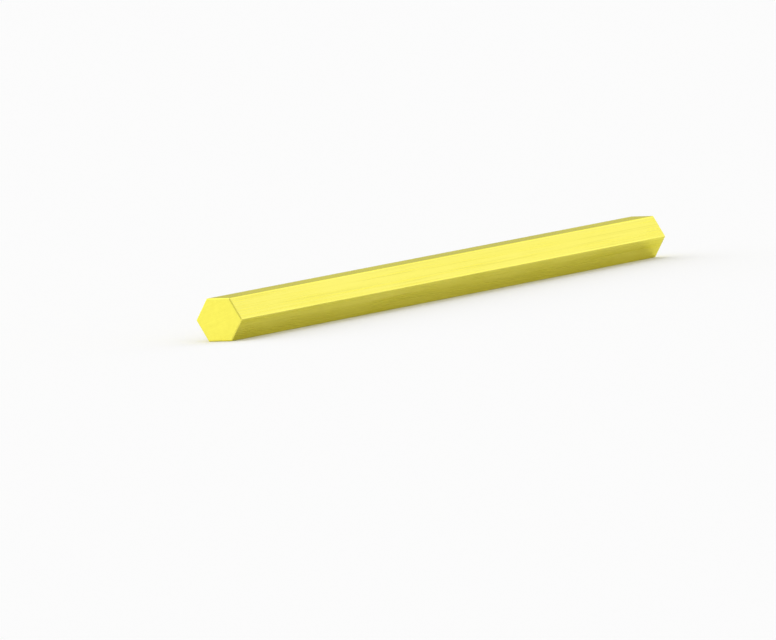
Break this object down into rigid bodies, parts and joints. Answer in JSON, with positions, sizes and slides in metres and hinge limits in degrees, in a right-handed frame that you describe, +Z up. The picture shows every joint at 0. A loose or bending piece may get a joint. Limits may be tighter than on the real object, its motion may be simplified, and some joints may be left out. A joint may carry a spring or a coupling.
{
  "type": "hex bar stock",
  "caption": "Straight solid hexagonal bar of drawn brass, sawn square at both ends, raw stock to be turned or milled into fittings, nuts and spacers.",
  "frame": {"origin": "under the middle of the bar, on the level plane that the bar lies on", "axes": "+X along the bar, +Z up with one flat below and one above, +Y across the corners"},
  "size_m": [0.5, 0.023, 0.02],
  "materials": {
    "brass": "satin"
  },
  "bodies": {
    "root": {"hex_bar": "brass"}
  },
  "joints": []
}
